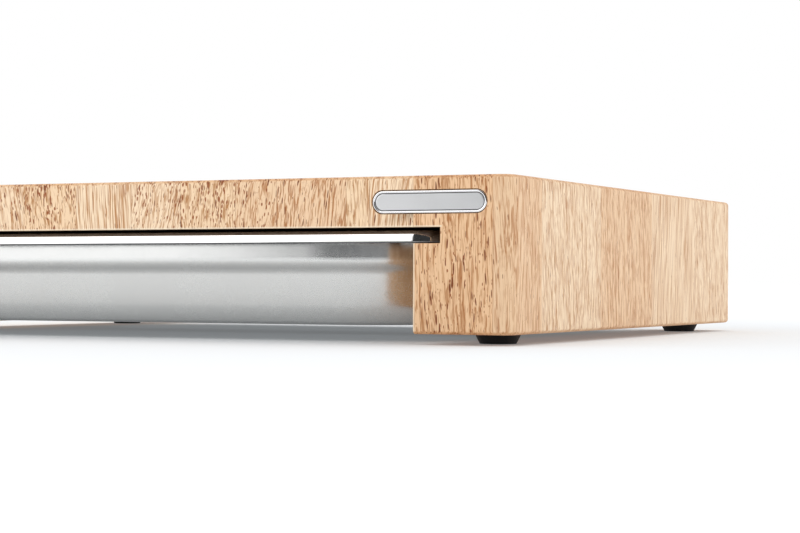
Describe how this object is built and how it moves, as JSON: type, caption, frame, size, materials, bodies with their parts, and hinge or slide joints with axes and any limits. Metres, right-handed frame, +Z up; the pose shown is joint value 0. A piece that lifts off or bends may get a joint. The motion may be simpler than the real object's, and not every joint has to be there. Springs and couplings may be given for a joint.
{
  "type": "cutting board with drawer trays",
  "caption": "Thick upright-grain hardwood cutting board on rubber feet, with pressed-steel drawer trays that slide in grooves under the slab, front and back.",
  "frame": {"origin": "on the ground under the middle of the board, between the four feet", "axes": "+X to the right along the board's width, +Y from the front face with the badge to the back, +Z up"},
  "size_m": [0.4, 0.325, 0.0715],
  "materials": {
    "wood_pale": "fine-sanded and oiled",
    "wood_tan": "fine-sanded and oiled",
    "wood_rose": "fine-sanded and oiled",
    "tray_steel": "satin wall, polished rim",
    "badge_metal": "polished border, satin field",
    "foot_rubber": "smooth black",
    "fixing_steel": "zinc plated"
  },
  "bodies": {
    "board": {"top_stave_1": "wood_pale", "top_stave_2": "wood_rose", "top_stave_3": "wood_tan", "top_stave_4": "wood_pale", "top_stave_5": "wood_rose", "top_stave_6": "wood_tan", "top_stave_7": "wood_pale", "top_stave_8": "wood_rose", "top_stave_9": "wood_tan", "top_stave_10": "wood_pale", "top_stave_11": "wood_rose", "top_stave_12": "wood_tan", "top_stave_13": "wood_pale", "left_leg_outer": "wood_pale", "left_leg_inner": "wood_tan", "right_leg_inner": "wood_tan", "right_leg_outer": "wood_pale", "stop_batten": "wood_rose", "badge": "badge_metal", "foot_front_left": "foot_rubber", "foot_front_right": "foot_rubber", "foot_rear_left": "foot_rubber", "foot_rear_right": "foot_rubber", "foot_washers": "fixing_steel", "foot_screws": "fixing_steel"},
    "front_tray": {"front_tray": "tray_steel"},
    "rear_tray": {"rear_tray": "tray_steel"}
  },
  "joints": [
    {"name": "front_tray_slide", "type": "slide", "parent": "board", "child": "front_tray", "axis": [0, -1, 0], "range_m": [0, 0.115]},
    {"name": "rear_tray_slide", "type": "slide", "parent": "board", "child": "rear_tray", "axis": [0, 1, 0], "range_m": [0, 0.115]}
  ]
}
